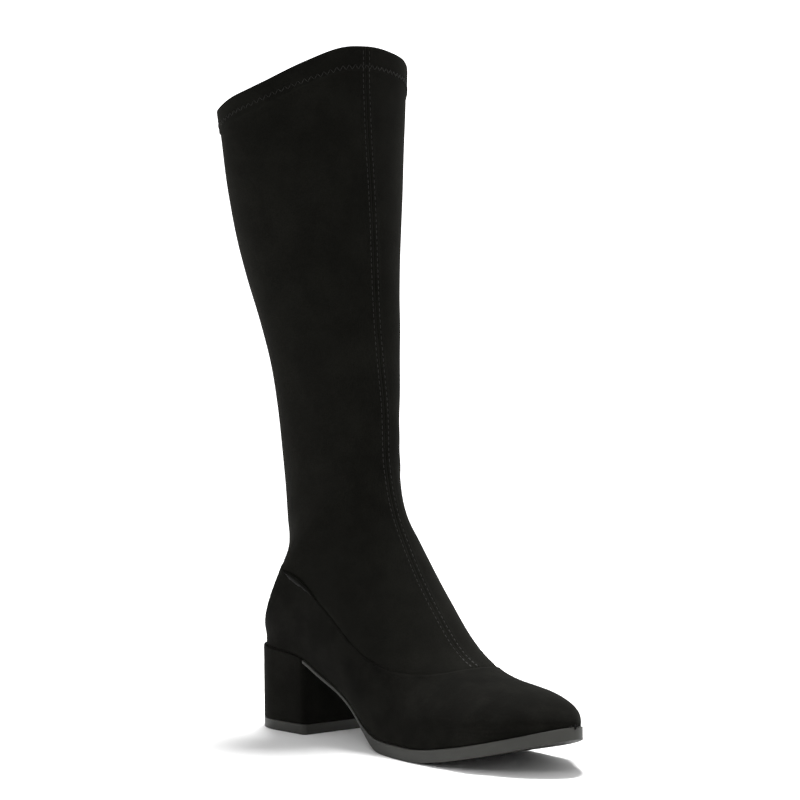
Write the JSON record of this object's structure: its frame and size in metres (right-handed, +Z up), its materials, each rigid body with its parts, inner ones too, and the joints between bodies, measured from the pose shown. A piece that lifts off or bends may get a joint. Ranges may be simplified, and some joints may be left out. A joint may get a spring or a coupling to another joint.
{
  "type": "knee-high boot",
  "caption": "Black knee-high boot for the right foot, with a stretch leg, a low top-line seam, an almond toe and a covered block heel.",
  "frame": {"origin": "on the floor, below the middle of the boot's bounding box", "axes": "+X towards the toe, +Y to the wearer's left, which is the inner side of this right boot, +Z up"},
  "size_m": [0.2928, 0.125, 0.422],
  "materials": {
    "rubber_sole": "matt dark grey rubber, smooth sides and fine tread",
    "rubber_lift": "matt dark grey rubber",
    "suede_foot": "black microsuede with a short nap over a stiffened last shape",
    "stretch_suede": "black stretch microsuede, soft and slightly creased",
    "insole_cover": "dark cloth over a thin padded board"
  },
  "bodies": {
    "root": {"outsole": "rubber_sole", "heel_block": "suede_foot", "heel_top_lift": "rubber_lift", "insole": "insole_cover", "upper": "suede_foot", "shaft": "stretch_suede"}
  },
  "joints": []
}
